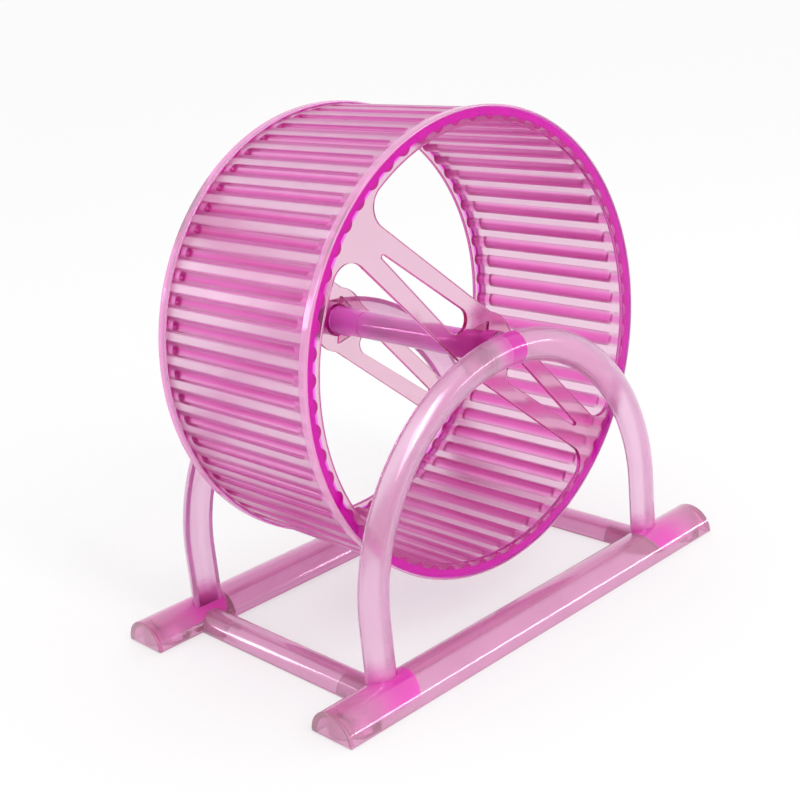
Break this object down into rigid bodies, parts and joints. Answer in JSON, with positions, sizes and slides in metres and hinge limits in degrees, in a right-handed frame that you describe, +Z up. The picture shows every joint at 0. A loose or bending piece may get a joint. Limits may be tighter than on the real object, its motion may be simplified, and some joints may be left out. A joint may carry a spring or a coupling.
{
  "type": "hamster wheel",
  "caption": "Free-standing exercise wheel for a small pet: a clear pink ribbed drum that turns between two arches on a low base.",
  "frame": {"origin": "middle of the footprint, on the floor", "axes": "+Z up, the axle along Y, the rails along X, the front on the -Y side"},
  "size_m": [0.168, 0.104, 0.156],
  "materials": {
    "stand": "gloss",
    "drum": "gloss",
    "end_plates": "gloss",
    "fittings": "gloss"
  },
  "bodies": {
    "stand": {"front_rail": "stand", "rear_rail": "stand", "left_cross_bar": "stand", "right_cross_bar": "stand", "front_arch": "stand", "rear_arch": "stand", "front_axle_pin": "fittings", "rear_axle_pin": "fittings"},
    "wheel": {"running_drum": "drum", "front_end_spider": "end_plates", "rear_end_spider": "end_plates", "front_hub_bush": "fittings", "rear_hub_bush": "fittings"}
  },
  "joints": [
    {"name": "wheel_spin", "type": "hinge", "parent": "stand", "child": "wheel", "pos_m": [0, 0, 0.086], "axis": [0, 1, 0], "continuous": true}
  ]
}
